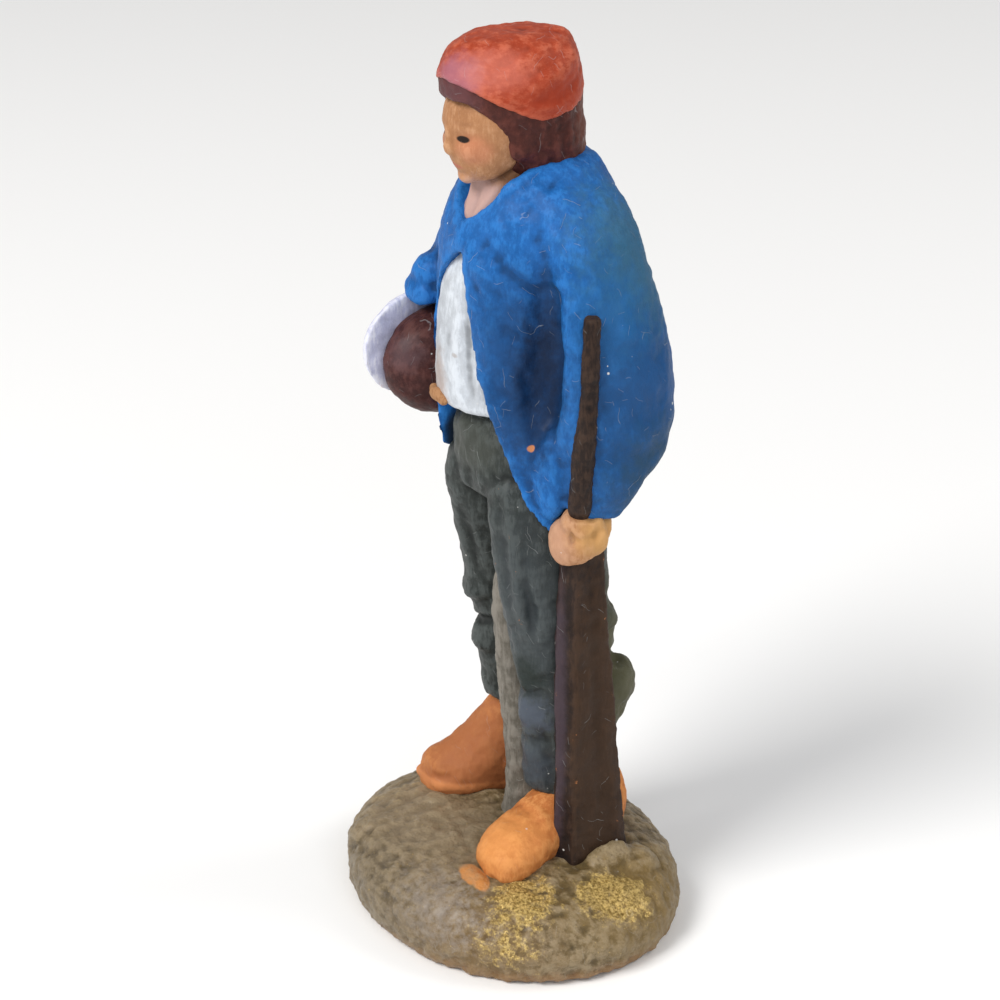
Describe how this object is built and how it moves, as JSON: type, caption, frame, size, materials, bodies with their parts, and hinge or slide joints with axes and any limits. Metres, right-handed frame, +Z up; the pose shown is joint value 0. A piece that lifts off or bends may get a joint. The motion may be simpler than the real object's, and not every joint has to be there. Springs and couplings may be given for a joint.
{
  "type": "figurine",
  "caption": "Painted clay crib figurine of a standing shepherd with cap, open jacket, staff and a bag under the arm, on a low earth mound.",
  "frame": {"origin": "centre of the mound's flat underside, where the figurine stands on a shelf", "axes": "+Z up along the figure, -Y the way the figure faces, +X towards the figure's left hand"},
  "size_m": [0.0298, 0.0245, 0.0691],
  "materials": {
    "earth": "satin",
    "shoes": "matt",
    "trousers": "matt",
    "stump": "matt",
    "shirt": "matt",
    "skin": "matt",
    "hair": "matt",
    "cap": "matt",
    "jacket": "matt",
    "staff": "matt",
    "pouch": "matt",
    "pouch_rim": "matt"
  },
  "bodies": {
    "root": {"earth_mound": "earth", "left_shoe": "shoes", "right_shoe": "shoes", "left_trouser_leg": "trousers", "right_trouser_leg": "trousers", "trouser_seat": "trousers", "tree_stump": "stump", "shirt_torso": "shirt", "neck": "skin", "head": "skin", "hair": "hair", "cap": "cap", "cap_fold": "cap", "jacket_back": "jacket", "jacket_left_front": "jacket", "jacket_right_front": "jacket", "left_sleeve": "jacket", "right_sleeve": "jacket", "left_hand": "skin", "right_hand": "skin", "staff": "staff", "staff_foot": "staff", "pouch_body": "pouch", "pouch_rim": "pouch_rim"}
  },
  "joints": []
}
